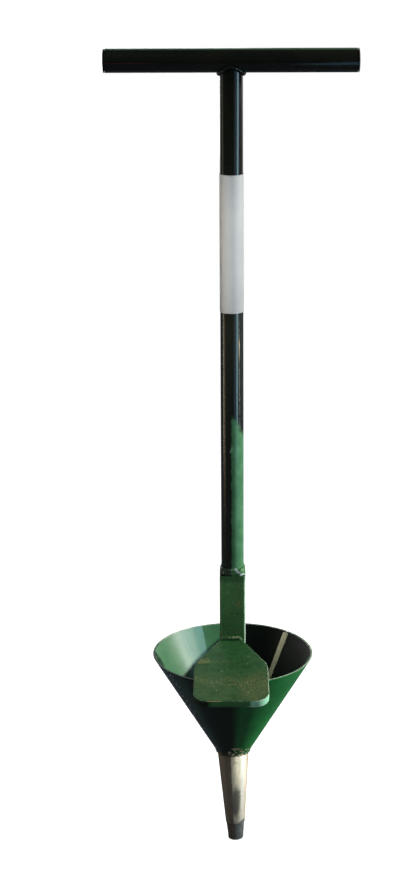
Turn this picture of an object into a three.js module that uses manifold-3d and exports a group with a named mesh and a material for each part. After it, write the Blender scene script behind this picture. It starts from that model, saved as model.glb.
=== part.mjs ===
import * as THREE from 'three';
import { mergeVertices } from 'three/addons/utils/BufferGeometryUtils.js';
import Module from 'manifold-3d';

// Soil sampling probe, all welded, in millimetres with +Z up.
// The origin lies on the shaft's line, level with the lowest point of the cutting edge.
// The handle runs along X and the foot tread points towards -Y.

const wasm = await Module();
wasm.setup();

// Driving dimensions of the whole tool
const overallHeight = 800;
const fitClearance = 0.3;
const cutOverrun = 40;

// Handle, a round tube closed by two pressed plugs
const handleDiameter = 22.5;
const handleSpan = 238;
const handleWall = 2;
const plugDomeHeight = 1.4;
const plugRimHeight = 0.9;
const plugSpigotLength = 14;
const plugWall = 1.6;

// Shaft, coped to the handle and standing in the socket tube
const shaftDiameter = 22;
const shaftWall = 2;
const shaftSocketDepth = 50;

// Label wrapped round the shaft
const labelDrop = 105;
const labelHeight = 132;
const labelThickness = 0.3;
const labelClearance = 0.1;

// Socket tube, a square hollow section
const socketWidth = 25.4;
const socketWall = 1.5;
const socketCornerRadius = 2.5;
const socketHeight = 76;
const socketDropBelowTread = 3;

// Foot tread, a plate that slopes down from the socket tube over the cone's lip
const treadThickness = 7.5;
const treadLength = 105.8;
const treadSideShift = -1.6;
const treadRootWidth = 20;
const treadShoulderWidth = 71;
const treadFrontWidth = 72.8;
const treadFlareLength = 44.5;
const treadShoulderRadius = 6;
const treadCornerRadius = 14;
const treadEdgeRound = 0.7;
const treadSlope = THREE.MathUtils.degToRad(11.8);
const lipSeatReach = 10.4;

// Collecting cone, rolled from sheet and closed by one seam
const mouthDiameter = 155.3;
const sheetThickness = 1.5;
const coneSlant = 120;
const seamAzimuth = THREE.MathUtils.degToRad(45);
const seamSlit = 1.6;
const seamCrownHeight = 0.6;
const seamTopWidth = 7;
const seamFootWidth = 3.4;
const seamTopInset = 4;
const seamFootInset = 7;
const seamWebInset = 1;

// Probe, a tapered tube with a separate cutting tip
const probeLength = 100;
const probeLean = THREE.MathUtils.degToRad(1.5);
const probeNeckWidth = 31.9;
const probeShoulderWidth = 19.2;
const probeWall = 2;
const neckEngagement = 4;
const tipLength = 18;
const tipEdgeWidth = 15;
const tipBore = 12;
const tipShoulderStep = 0.45;
const tipSpigotLength = 9;
const tipCountersink = 0.7;

// Weld beads
const beadRadius = 2.2;
const beadOffset = 1;
const beadRipplePitch = 4;
const beadRippleDepth = 0.3;
const saddleCrestDrop = 5;
const saddleSideOffset = 0.9;
const socketBeadHeight = 8;
const socketBeadMiddleShare = 0.25;
const neckBeadRadius = 1.9;
const treadWeldBend = 3;
const lipWeldSpan = 52;
const underWeldLength = 16;

// Fineness of the round forms
const tubeFacets = 48;
const coneFacets = 96;
const cornerSegments = 6;
const domeSegments = 4;
const beadSides = 8;
const stepsPerRipple = 3;
const mergeTolerance = 1e-4;

// Heights and radii that follow from the driving dimensions
const handleRadius = handleDiameter / 2;
const shaftRadius = shaftDiameter / 2;
const socketHalf = socketWidth / 2;
const handleAxisHeight = overallHeight - handleRadius;
const handleLength = handleSpan - 2 * (fitClearance + plugRimHeight + plugDomeHeight);

const probeNeckRadius = probeNeckWidth / 2;
const probeShoulderRadius = probeShoulderWidth / 2;
const coneNeckInner = probeNeckRadius + fitClearance;
const lipInner = mouthDiameter / 2;
const coneHalfAngle = Math.asin((lipInner - coneNeckInner) / coneSlant);
const lipHeight = probeLength + coneSlant * Math.cos(coneHalfAngle);
const sheetAcross = sheetThickness / Math.cos(coneHalfAngle);
const lipOuter = lipInner + sheetAcross;
const coneNeckOuter = coneNeckInner + sheetAcross;

const treadAcross = treadThickness / Math.cos(treadSlope);
const treadRootUnderside = lipHeight
  + Math.tan(treadSlope) * (lipOuter - lipSeatReach - socketHalf);
const treadRootHeight = treadRootUnderside + treadAcross;
const socketFoot = treadRootUnderside - socketDropBelowTread;
const socketTop = socketFoot + socketHeight;
const shaftFoot = socketTop - shaftSocketDepth;

const X = new THREE.Vector3(1, 0, 0);
const Y = new THREE.Vector3(0, 1, 0);
const Z = new THREE.Vector3(0, 0, 1);

// Turns a closed three.js geometry into a solid that can be cut and joined.
function solidOf(geometry) {
  const loose = geometry.index ? geometry.toNonIndexed() : geometry;
  const plain = new THREE.BufferGeometry();
  plain.setAttribute('position', loose.getAttribute('position'));
  const merged = mergeVertices(plain, mergeTolerance);
  return new wasm.Manifold(new wasm.Mesh({
    numProp: 3,
    vertProperties: merged.getAttribute('position').array,
    triVerts: new Uint32Array(merged.index.array),
  }));
}

function geometryOf(solid) {
  const mesh = solid.getMesh();
  const geometry = new THREE.BufferGeometry();
  geometry.setAttribute('position', new THREE.BufferAttribute(mesh.vertProperties, 3));
  geometry.setIndex(new THREE.BufferAttribute(mesh.triVerts, 1));
  geometry.computeVertexNormals();
  return geometry;
}

// Revolves a closed outline of (radius, height) pairs, listed up its outer side, about Z.
function revolve(outline, facets) {
  const points = outline.map(([radius, height]) => new THREE.Vector2(radius, height));
  const first = points[0];
  const last = points[points.length - 1];
  if (first.x > 0 || last.x > 0) points.push(first.clone());
  return new THREE.LatheGeometry(points, facets).rotateX(Math.PI / 2);
}

function ringOutline(outer, inner, low, high) {
  return [[outer, low], [outer, high], [inner, high], [inner, low]];
}

function rod(radius, low, high) {
  return revolve([[0, low], [radius, low], [radius, high], [0, high]], tubeFacets);
}

// A rounded rectangle about the origin, as a shape or as a hole.
function roundedSquare(half, radius, Kind = THREE.Shape) {
  const inner = half - radius;
  const outline = new Kind();
  outline.moveTo(-inner, -half);
  outline.lineTo(inner, -half);
  outline.absarc(inner, -inner, radius, -Math.PI / 2, 0);
  outline.lineTo(half, inner);
  outline.absarc(inner, inner, radius, 0, Math.PI / 2);
  outline.lineTo(-inner, half);
  outline.absarc(-inner, inner, radius, Math.PI / 2, Math.PI);
  outline.lineTo(-half, -inner);
  outline.absarc(-inner, -inner, radius, Math.PI, Math.PI * 1.5);
  return outline;
}

// Clearance bodies: the neighbours of a weld or a cut, grown by a margin.
function shaftBody(margin) {
  return solidOf(rod(shaftRadius + margin, shaftFoot, handleAxisHeight));
}

function handleBody(margin) {
  const half = handleLength / 2;
  const bar = rod(handleRadius + margin, -half, half).rotateY(Math.PI / 2);
  return solidOf(bar.translate(0, 0, handleAxisHeight));
}

function socketBody(margin) {
  const half = socketHalf + margin;
  const shape = roundedSquare(half, socketCornerRadius + margin);
  const block = new THREE.ExtrudeGeometry(shape, {
    depth: socketHeight + 2 * margin, bevelEnabled: false, curveSegments: cornerSegments,
  });
  return solidOf(block.translate(0, 0, socketFoot - margin));
}

function coneWall(margin) {
  const across = margin / Math.cos(coneHalfAngle);
  return revolve([
    [coneNeckOuter + across, probeLength],
    [lipOuter + across, lipHeight],
    [lipInner - across, lipHeight],
    [coneNeckInner - across, probeLength],
  ], coneFacets);
}

// The tread's outline: x across the tool, y along the plate away from the socket tube.
function treadOutline(margin) {
  const root = treadRootWidth / 2 + margin;
  const shoulder = treadShoulderWidth / 2 + margin;
  const front = treadFrontWidth / 2 + margin;
  const end = treadLength + margin;
  const corner = treadCornerRadius + margin;
  const flareSlope = (treadShoulderWidth - treadRootWidth) / 2 / treadFlareLength;
  const buried = root - flareSlope * socketWall;
  const outline = new THREE.Shape();
  outline.moveTo(-buried, -socketWall);
  outline.lineTo(buried, -socketWall);
  outline.lineTo(
    shoulder - flareSlope * treadShoulderRadius, treadFlareLength - treadShoulderRadius,
  );
  outline.quadraticCurveTo(
    shoulder, treadFlareLength, shoulder, treadFlareLength + treadShoulderRadius,
  );
  outline.lineTo(front, end - corner);
  outline.absarc(front - corner, end - corner, corner, 0, Math.PI / 2);
  outline.lineTo(corner - front, end);
  outline.absarc(corner - front, end - corner, corner, Math.PI / 2, Math.PI);
  outline.lineTo(-shoulder, treadFlareLength + treadShoulderRadius);
  outline.quadraticCurveTo(
    -shoulder, treadFlareLength,
    flareSlope * treadShoulderRadius - shoulder, treadFlareLength - treadShoulderRadius,
  );
  return outline;
}

// Lays the plate on its slope: across on X, along towards -Y and down, thickness downwards.
function layTread(geometry, margin) {
  const along = new THREE.Vector3(0, -Math.cos(treadSlope), -Math.sin(treadSlope));
  const down = new THREE.Vector3().crossVectors(X, along);
  const place = new THREE.Matrix4().makeBasis(X, along, down);
  place.setPosition(treadSideShift, -socketHalf, treadRootHeight);
  return geometry.translate(0, 0, -margin).applyMatrix4(place);
}

function treadBody(margin) {
  const plate = new THREE.ExtrudeGeometry(treadOutline(margin), {
    depth: treadThickness + 2 * margin, bevelEnabled: false, curveSegments: cornerSegments,
  });
  return solidOf(layTread(plate, margin));
}

function treadPlate() {
  const plate = new THREE.ExtrudeGeometry(treadOutline(0), {
    depth: treadThickness - 2 * treadEdgeRound,
    bevelThickness: treadEdgeRound,
    bevelSize: treadEdgeRound,
    bevelOffset: -treadEdgeRound,
    bevelSegments: 2,
    curveSegments: cornerSegments,
  });
  const laid = layTread(plate.translate(0, 0, treadEdgeRound), 0);
  return geometryOf(solidOf(laid).subtract(socketBody(fitClearance)));
}

// The height of the tread's underside at a distance in front of the shaft's line.
function treadUndersideAt(reach) {
  return treadRootUnderside - Math.tan(treadSlope) * (reach - socketHalf);
}

// A weld bead: a rod with flat sides along a path, swelling in even ripples.
// path and outward take a share of the way and give a point and a direction square to the path.
function beadAlong({ path, outward, length, radius = beadRadius, tall = 1, closed = false }) {
  const ripples = Math.max(2, Math.round(length / beadRipplePitch));
  const steps = ripples * stepsPerRipple;
  const rings = closed ? steps : steps + 1;
  const nudge = 1 / (steps * steps);
  const positions = [];
  const centres = [];
  for (let i = 0; i < rings; i += 1) {
    const share = i / steps;
    const centre = path(share);
    const before = path(closed ? share - nudge : Math.max(0, share - nudge));
    const after = path(closed ? share + nudge : Math.min(1, share + nudge));
    const tangent = after.sub(before).normalize();
    const side = new THREE.Vector3().crossVectors(tangent, outward(share)).normalize();
    const out = new THREE.Vector3().crossVectors(side, tangent);
    const swell = 1 + beadRippleDepth / radius * Math.cos(2 * Math.PI * ripples * share);
    const ring = [];
    for (let k = 0; k < beadSides; k += 1) {
      const angle = 2 * Math.PI * k / beadSides;
      ring.push(centre.clone()
        .addScaledVector(out, radius * swell * Math.cos(angle))
        .addScaledVector(side, radius * swell * tall * Math.sin(angle)));
    }
    positions.push(ring);
    centres.push(centre);
  }
  const corners = [];
  const joined = closed ? rings : rings - 1;
  for (let i = 0; i < joined; i += 1) {
    const here = positions[i];
    const next = positions[(i + 1) % rings];
    for (let k = 0; k < beadSides; k += 1) {
      const l = (k + 1) % beadSides;
      corners.push(here[k], here[l], next[k], next[k], here[l], next[l]);
    }
  }
  if (!closed) {
    const start = positions[0];
    const end = positions[rings - 1];
    for (let k = 0; k < beadSides; k += 1) {
      const l = (k + 1) % beadSides;
      corners.push(centres[0], start[l], start[k], centres[rings - 1], end[k], end[l]);
    }
  }
  return solidOf(new THREE.BufferGeometry().setFromPoints(corners));
}

function ringDirection(share) {
  const angle = 2 * Math.PI * share;
  return new THREE.Vector3(Math.cos(angle), Math.sin(angle), 0);
}

// Handle and plugs
function handleTube() {
  const half = handleLength / 2;
  const outline = ringOutline(handleRadius, handleRadius - handleWall, -half, half);
  return revolve(outline, tubeFacets).rotateY(Math.PI / 2);
}

function handlePlug() {
  const spigot = handleRadius - handleWall - fitClearance;
  const dome = new THREE.EllipseCurve(
    0, plugRimHeight, handleRadius, plugDomeHeight, 0, Math.PI / 2,
  );
  const head = dome.getPoints(domeSegments).map((point) => [point.x, point.y]);
  head[head.length - 1][0] = 0;
  return revolve([
    [0, -plugWall],
    [spigot - plugWall, -plugWall],
    [spigot - plugWall, -plugSpigotLength],
    [spigot, -plugSpigotLength],
    [spigot, 0],
    [handleRadius, 0],
    ...head,
  ], tubeFacets);
}

// The saddle line where shaft and handle meet, kept a little outside both tubes.
function saddlePath(share) {
  const angle = 2 * Math.PI * share;
  const side = handleRadius + beadOffset;
  const drop = Math.hypot(side * Math.cos(angle), saddleCrestDrop * Math.sin(angle));
  return new THREE.Vector3(
    (shaftRadius + saddleSideOffset) * Math.cos(angle),
    (shaftRadius + beadOffset / 2) * Math.sin(angle),
    handleAxisHeight - drop,
  );
}

function saddleWeld() {
  const girth = 2 * Math.PI * shaftRadius + 4 * (handleRadius - saddleCrestDrop);
  return beadAlong({ path: saddlePath, outward: ringDirection, length: girth, closed: true })
    .subtract(shaftBody(fitClearance))
    .subtract(handleBody(fitClearance));
}

function shaftTube() {
  const outline = ringOutline(
    shaftRadius, shaftRadius - shaftWall, shaftFoot, handleAxisHeight,
  );
  return solidOf(revolve(outline, tubeFacets)).subtract(handleBody(fitClearance));
}

function labelSleeve() {
  const inner = shaftRadius + labelClearance;
  const top = handleAxisHeight - labelDrop;
  return revolve(ringOutline(inner + labelThickness, inner, top - labelHeight, top), tubeFacets);
}

// Socket tube and its welds
function socketTube() {
  const shape = roundedSquare(socketHalf, socketCornerRadius);
  const boreRadius = Math.max(socketCornerRadius - socketWall, 0);
  shape.holes.push(roundedSquare(socketHalf - socketWall, boreRadius, THREE.Path));
  const tube = new THREE.ExtrudeGeometry(shape, {
    depth: socketHeight, bevelEnabled: false, curveSegments: cornerSegments,
  });
  return tube.translate(0, 0, socketFoot);
}

// The bead follows the tube along the flats and runs out into the four open corners.
function socketWeldPath(share) {
  const angle = 2 * Math.PI * share;
  const cornerReach = (socketHalf - socketCornerRadius) * Math.SQRT2 + socketCornerRadius;
  const flat = socketHalf - beadRadius - beadRippleDepth;
  const corner = cornerReach - beadRadius - 2 * beadOffset;
  const reach = flat + (corner - flat) * Math.sin(2 * angle) ** 2;
  const middle = socketTop + socketBeadHeight * socketBeadMiddleShare;
  return ringDirection(share).multiplyScalar(reach).setZ(middle);
}

function blockBelow(height) {
  const size = 2 * cutOverrun;
  return solidOf(new THREE.BoxGeometry(size, size, size).translate(0, 0, height - cutOverrun));
}

function blockAbove(height) {
  const size = 2 * cutOverrun;
  return solidOf(new THREE.BoxGeometry(size, size, size).translate(0, 0, height + cutOverrun));
}

function socketWeld() {
  return beadAlong({
    path: socketWeldPath,
    outward: ringDirection,
    length: 8 * socketHalf,
    radius: beadRadius - beadRippleDepth / 2,
    tall: socketBeadHeight * (1 - socketBeadMiddleShare) / beadRadius,
    closed: true,
  })
    .subtract(shaftBody(fitClearance))
    .subtract(blockBelow(socketTop + fitClearance));
}

// The bead over the tread's root: up one side of the plate, across it and down the other.
function treadRootWeld() {
  const face = -(socketHalf + beadOffset);
  const side = (treadRootWidth - beadOffset) / 2;
  const top = treadRootHeight + beadOffset / 2;
  const foot = treadRootUnderside + beadOffset;
  const at = (x, z) => new THREE.Vector3(treadSideShift + x, face, z);
  const route = new THREE.CurvePath();
  route.add(new THREE.LineCurve3(at(-side, foot), at(-side, top - treadWeldBend)));
  route.add(new THREE.QuadraticBezierCurve3(
    at(-side, top - treadWeldBend), at(-side, top), at(treadWeldBend - side, top),
  ));
  route.add(new THREE.LineCurve3(at(treadWeldBend - side, top), at(side - treadWeldBend, top)));
  route.add(new THREE.QuadraticBezierCurve3(
    at(side - treadWeldBend, top), at(side, top), at(side, top - treadWeldBend),
  ));
  route.add(new THREE.LineCurve3(at(side, top - treadWeldBend), at(side, foot)));
  return beadAlong({
    path: (share) => route.getPointAt(share),
    outward: () => Y.clone().negate(),
    length: route.getLength(),
  })
    .subtract(socketBody(fitClearance))
    .subtract(treadBody(fitClearance));
}

function treadUnderWeld() {
  const start = treadSideShift - underWeldLength / 2;
  const face = -(socketHalf + beadOffset);
  const height = treadUndersideAt(-face) - beadOffset;
  return beadAlong({
    path: (share) => new THREE.Vector3(start + underWeldLength * share, face, height),
    outward: () => Y.clone().negate(),
    length: underWeldLength,
  })
    .subtract(socketBody(fitClearance))
    .subtract(treadBody(fitClearance));
}

// A bead in the corner between the tread's underside and the cone's lip.
// side is 1 outside the cone and -1 inside it.
function lipWeld(side) {
  const radius = side > 0 ? lipOuter : lipInner;
  const halfSpan = Math.asin(lipWeldSpan / 2 / radius);
  const direction = (share) => {
    const angle = -Math.PI / 2 + halfSpan * (2 * share - 1);
    return new THREE.Vector3(Math.cos(angle), Math.sin(angle), 0);
  };
  const path = (share) => {
    const way = direction(share);
    const under = treadUndersideAt(-way.y * radius) - beadOffset;
    const shrink = (lipHeight - under) * Math.tan(coneHalfAngle);
    return way.multiplyScalar(radius - shrink + side * beadOffset).setZ(under);
  };
  return beadAlong({ path, outward: direction, length: lipWeldSpan })
    .subtract(solidOf(coneWall(fitClearance)))
    .subtract(treadBody(fitClearance));
}

// Cone, cut along its seam and notched where the tread crosses its lip
function collectingCone() {
  const slab = new THREE.BoxGeometry(2 * lipOuter, seamSlit, 2 * lipHeight)
    .translate(lipOuter, 0, lipHeight)
    .rotateZ(seamAzimuth);
  return solidOf(coneWall(0)).subtract(solidOf(slab)).subtract(treadBody(fitClearance));
}

// A strip along the seam: a tapered face raised by its thickness along the wall's normal.
function seamStrip(footHalf, topHalf, start, end, low, high) {
  const face = new THREE.Shape();
  face.moveTo(-footHalf, start);
  face.lineTo(footHalf, start);
  face.lineTo(topHalf, end);
  face.lineTo(-topHalf, end);
  const strip = new THREE.ExtrudeGeometry(face, { depth: high - low, bevelEnabled: false });
  return solidOf(strip.translate(0, 0, low));
}

function seamWeld() {
  const near = sheetThickness / 2 + fitClearance;
  const far = near + seamCrownHeight;
  const middle = near + seamCrownHeight / 2;
  const foot = seamFootWidth / 2;
  const top = seamTopWidth / 2;
  const end = coneSlant - seamTopInset;
  const web = seamSlit / 2 - fitClearance;
  const bead = seamStrip(foot, top, seamFootInset, end, -far, -near)
    .add(seamStrip(foot, top, seamFootInset, end, near, far))
    .add(seamStrip(web, web, seamWebInset, coneSlant - seamWebInset, -middle, middle));
  const radial = X.clone().applyAxisAngle(Z, seamAzimuth);
  const across = Y.clone().applyAxisAngle(Z, seamAzimuth);
  const upSlope = radial.clone().multiplyScalar(Math.sin(coneHalfAngle))
    .addScaledVector(Z, Math.cos(coneHalfAngle));
  const normal = new THREE.Vector3().crossVectors(across, upSlope);
  const place = new THREE.Matrix4().makeBasis(across, upSlope, normal);
  const footCentre = radial.multiplyScalar((coneNeckInner + coneNeckOuter) / 2);
  place.setPosition(footCentre.x, footCentre.y, probeLength);
  return geometryOf(bead).applyMatrix4(place);
}

// Probe: outlines are written upwards from the cutting edge, then hung from the cone's neck
const probeTaper = (probeNeckRadius - probeShoulderRadius) / (probeLength - tipLength);

function probeRadiusAt(height) {
  return probeShoulderRadius + probeTaper * (height - tipLength);
}

// The lean lifts one side of the cutting edge, and the other side stays at the origin's height.
function hang(geometry) {
  const neckHeight = probeLength * Math.cos(probeLean) + tipEdgeWidth / 2 * Math.sin(probeLean);
  return geometry
    .translate(0, 0, -probeLength)
    .rotateY(-probeLean)
    .translate(0, 0, neckHeight);
}

function probeTube() {
  const foot = tipLength + fitClearance;
  const head = probeLength + neckEngagement;
  return hang(revolve([
    [probeRadiusAt(foot), foot],
    [probeRadiusAt(head), head],
    [probeRadiusAt(head) - probeWall, head],
    [probeRadiusAt(foot) - probeWall, foot],
  ], tubeFacets));
}

function cuttingTip() {
  const shoulder = probeShoulderRadius - tipShoulderStep;
  const spigot = probeShoulderRadius - probeWall - fitClearance;
  const bore = tipBore / 2;
  const edge = tipEdgeWidth / 2;
  return hang(revolve([
    [edge, 0],
    [shoulder, tipLength],
    [spigot, tipLength],
    [spigot, tipLength + tipSpigotLength],
    [bore, tipLength + tipSpigotLength],
    [bore, tipCountersink * 2],
    [bore + tipCountersink, 0],
  ], tubeFacets));
}

function neckWeld() {
  const height = probeLength - neckBeadRadius + beadRippleDepth;
  const margin = fitClearance;
  const body = hang(revolve([
    [0, 0],
    [probeRadiusAt(0) + margin, 0],
    [probeRadiusAt(probeLength + cutOverrun) + margin, probeLength + cutOverrun],
    [0, probeLength + cutOverrun],
  ], tubeFacets));
  return beadAlong({
    path: (share) => ringDirection(share).multiplyScalar(probeNeckRadius).setZ(height),
    outward: ringDirection,
    length: Math.PI * probeNeckWidth,
    radius: neckBeadRadius - beadRippleDepth,
    closed: true,
    tall: neckBeadRadius / (neckBeadRadius - beadRippleDepth),
  })
    .subtract(solidOf(body))
    .subtract(blockAbove(probeLength - fitClearance));
}

// Finishes
const finish = (color, roughness, metalness) => (
  new THREE.MeshStandardMaterial({ color, roughness, metalness })
);
const darkPaint = finish(0x121812, 0.28, 0);
const greenPaint = finish(0x21582f, 0.3, 0);
const conePaint = finish(0x1e6932, 0.26, 0);
const labelVinyl = finish(0xb4b8b2, 0.45, 0);
const wornSteel = finish(0xb9ab86, 0.34, 1);
const tipSteel = finish(0x3f4041, 0.42, 1);
const bareSeam = finish(0x7d785a, 0.7, 0.1);

const probe = new THREE.Group();

function place(name, geometry, material) {
  const mesh = new THREE.Mesh(geometry, material);
  mesh.name = name;
  probe.add(mesh);
  return mesh;
}

function placeSolid(name, solid, material) {
  return place(name, geometryOf(solid), material);
}

place('handle_tube', handleTube(), darkPaint).position.z = handleAxisHeight;
for (const [name, side] of [['handle_plug_left', -1], ['handle_plug_right', 1]]) {
  const plug = place(name, handlePlug(), darkPaint);
  plug.position.set(side * (handleLength / 2 + fitClearance), 0, handleAxisHeight);
  plug.rotation.y = side * Math.PI / 2;
}
placeSolid('saddle_weld', saddleWeld(), darkPaint);
placeSolid('shaft_tube', shaftTube(), darkPaint);
place('label_sleeve', labelSleeve(), labelVinyl);
placeSolid('socket_weld', socketWeld(), greenPaint);
place('socket_tube', socketTube(), greenPaint);
placeSolid('tread_root_weld', treadRootWeld(), greenPaint);
placeSolid('tread_under_weld', treadUnderWeld(), greenPaint);
place('foot_tread', treadPlate(), greenPaint);
placeSolid('lip_weld_outer', lipWeld(1), conePaint);
placeSolid('lip_weld_inner', lipWeld(-1), conePaint);
placeSolid('collecting_cone', collectingCone(), conePaint);
place('cone_seam_weld', seamWeld(), bareSeam);
placeSolid('neck_weld', neckWeld(), conePaint);
place('probe_tube', probeTube(), wornSteel);
place('cutting_tip', cuttingTip(), tipSteel);

export default probe;
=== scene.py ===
import math

import bmesh
import bpy
from mathutils import Matrix, Vector, noise


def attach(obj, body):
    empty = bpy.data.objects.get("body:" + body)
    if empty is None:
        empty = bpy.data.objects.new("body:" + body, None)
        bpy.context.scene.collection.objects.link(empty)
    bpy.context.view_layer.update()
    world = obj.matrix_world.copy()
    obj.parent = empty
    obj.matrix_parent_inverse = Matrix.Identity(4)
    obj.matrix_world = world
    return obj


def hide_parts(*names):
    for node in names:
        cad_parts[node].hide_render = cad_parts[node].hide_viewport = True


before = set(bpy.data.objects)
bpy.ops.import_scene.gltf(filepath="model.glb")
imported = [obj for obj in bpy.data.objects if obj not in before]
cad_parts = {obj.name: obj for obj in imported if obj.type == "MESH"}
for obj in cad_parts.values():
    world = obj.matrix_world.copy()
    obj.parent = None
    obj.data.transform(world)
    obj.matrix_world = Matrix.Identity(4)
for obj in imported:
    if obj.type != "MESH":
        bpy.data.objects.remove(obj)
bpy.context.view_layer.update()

scene = bpy.context.scene
scene.view_settings.view_transform = "Standard"
MM = 0.001
TURN = 2 * math.pi
UP = Vector((0, 0, 1))

# Camera, in front of the tool and above its handle, as fitted to the photograph
PHOTO_HEIGHT_PX, SHAFT_OFF_CENTRE_PX = 894, 31.7
CAMERA_PLACE = (0, -2.10775, 1.06958)
CAMERA_DIP, CAMERA_ROLL = 17.211, -0.157
lens = bpy.data.cameras.new("camera")
lens.sensor_width = 36
lens.lens = 91.86
lens.shift_x = -SHAFT_OFF_CENTRE_PX / PHOTO_HEIGHT_PX
lens.clip_end = 60
camera = bpy.data.objects.new("camera", lens)
scene.collection.objects.link(camera)
camera.matrix_world = (
    Matrix.Translation(CAMERA_PLACE)
    @ Matrix.Rotation(math.radians(90 - CAMERA_DIP), 4, "X")
    @ Matrix.Rotation(math.radians(CAMERA_ROLL), 4, "Z")
)
scene.camera = camera


class Term:
    """An output in a finish; sums written on it add Math nodes."""

    def __init__(self, finish, socket):
        self.finish = finish
        self.socket = socket

    def other(self, output):
        """Another output of the same node."""
        return Term(self.finish, self.socket.node.outputs[output])

    def maths(self, operation, *others):
        values = dict(enumerate([self, *others]))
        return self.finish.node("Math", {"operation": operation}, values)

    def __add__(self, other):
        return self.maths("ADD", other)

    __radd__ = __add__

    def __mul__(self, other):
        return self.maths("MULTIPLY", other)

    __rmul__ = __mul__

    def __sub__(self, other):
        return self.maths("SUBTRACT", other)

    def __rsub__(self, other):
        return self.finish.node("Math", {"operation": "SUBTRACT"}, {0: other, 1: self})

    def __truediv__(self, other):
        return self.maths("DIVIDE", other)

    def __or__(self, other):
        """The larger of two shares."""
        return self.maths("MAXIMUM", other)

    def rises(self, low, high):
        """Goes smoothly from 0 at low to 1 at high."""
        return self.finish.node(
            "MapRange", {"interpolation_type": "SMOOTHSTEP"},
            {"Value": self, "From Min": low, "From Max": high},
        )

    def falls(self, low, high):
        return 1 - self.rises(low, high)

    def turn_from(self, ahead):
        """The direction round the shaft in degrees: 0 is along ahead and 90 is along this axis."""
        return self.maths("ARCTAN2", ahead) * (180 / math.pi)

    def between(self, low, high, soft):
        """1 from low to high, with edges of a softness."""
        return self.rises(low - soft, low + soft) * self.falls(high - soft, high + soft)


class Finish:
    """A finish made of nodes, on a material or on the world."""

    def __init__(self, holder):
        holder.use_nodes = True
        self.holder = holder
        self.tree = holder.node_tree
        self.tree.nodes.clear()

    def node(self, kind, settings=None, values=None, output=0):
        made = self.tree.nodes.new("ShaderNode" + kind)
        for name, value in (settings or {}).items():
            setattr(made, name, value)
        for name, value in (values or {}).items():
            if isinstance(value, Term):
                self.tree.links.new(value.socket, made.inputs[name])
            else:
                made.inputs[name].default_value = value
        return Term(self, made.outputs[output]) if made.outputs else None

    def place(self):
        """Where on the tool a point of the surface lies, in millimetres."""
        held = self.node("TexCoord", output="Object")
        return self.node("VectorMath", {"operation": "SCALE"}, {0: held, "Scale": 1 / MM})

    def axes(self, where):
        return [self.node("SeparateXYZ", values={0: where}, output=axis) for axis in "XYZ"]

    def along(self, where, direction):
        """How far a place lies along a direction."""
        values = {0: where, 1: direction}
        return self.node("VectorMath", {"operation": "DOT_PRODUCT"}, values, "Value")

    def joined(self, x, y, z):
        return self.node("CombineXYZ", values={0: x, 1: y, 2: z})

    def cloud(self, where, size, detail=2.0, roughness=0.5):
        """Noise with features of a size in millimetres."""
        return self.node("TexNoise", values={
            "Vector": where, "Scale": 1 / size, "Detail": detail, "Roughness": roughness,
        })

    def flecks(self, where, cell, share, size):
        """Small scattered dots, in a share of the cells of a grid."""
        middle = self.node("TexVoronoi", values={"Vector": where, "Scale": 1 / cell})
        picked = self.node("SeparateColor", values={0: middle.other("Color")})
        reach = size / cell
        return middle.falls(0.6 * reach, reach) * picked.rises(1 - share, 1.02 - share)

    def oval(self, across, along, middle, reach):
        """1 inside an oval that fades out towards its edge."""
        left = (across - middle[0]) / reach[0]
        up = (along - middle[1]) / reach[1]
        return (left * left + up * up).falls(0.3, 1.4)

    def blend(self, share, first, second):
        values = {0: share, 6: first, 7: second}
        return self.node("Mix", {"data_type": "RGBA"}, values, 2)

    def layers(self, colour, *laid):
        """A colour with others laid over it in turn, each in its share."""
        for share, tint in laid:
            colour = self.blend(share, colour, tint)
        return colour

    def surface(self, colour, roughness, height, depth, specular, **values):
        """Ends the finish, with a bump of a depth in millimetres."""
        bump = self.node("Bump", values={"Height": height, "Strength": 1, "Distance": depth * MM})
        shader = self.node("BsdfPrincipled", values={
            "Base Color": colour, "Roughness": roughness, "Normal": bump,
            "Specular IOR Level": specular, **values,
        })
        self.node("OutputMaterial", values={"Surface": shader})
        return self.holder


def new_finish(name):
    return Finish(bpy.data.materials.new(name))


def rgb(red, green, blue):
    """Screen values from 0 to 255 as the linear colour that shaders take."""
    linear = []
    for value in (red, green, blue):
        share = value / 255
        linear.append(share / 12.92 if share <= 0.04045 else ((share + 0.055) / 1.055) ** 2.4)
    return (*linear, 1)


# Room: a white backdrop behind the tool, which also shows in its gloss, and dim light
def seen_rays(finish, backdrop):
    """1 where the camera, a view through glass or a reflection meets the white backdrop."""
    camera_ray, clear_ray, glossy_ray = (
        finish.node("LightPath", output=f"Is {name} Ray")
        for name in ("Camera", "Transmission", "Glossy")
    )
    return camera_ray | clear_ray | glossy_ray * backdrop


world = bpy.data.worlds.new("room")
scene.world = world
room = Finish(world)
_, depth, height = room.axes(room.node("TexCoord", output="Generated"))
backdrop = depth.rises(-0.3, 0.1) * height.falls(0.2, 0.5)
white = room.node("Background", values={"Color": (1, 1, 1, 1), "Strength": 1})
dim = room.node("Background", values={"Color": (0.85, 0.93, 1, 1), "Strength": 0.05})
room.node("OutputWorld", values={
    "Surface": room.node("MixShader", values={0: seen_rays(room, backdrop), 1: dim, 2: white}),
})

# Lamps
NARROW = math.radians(30)


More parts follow.
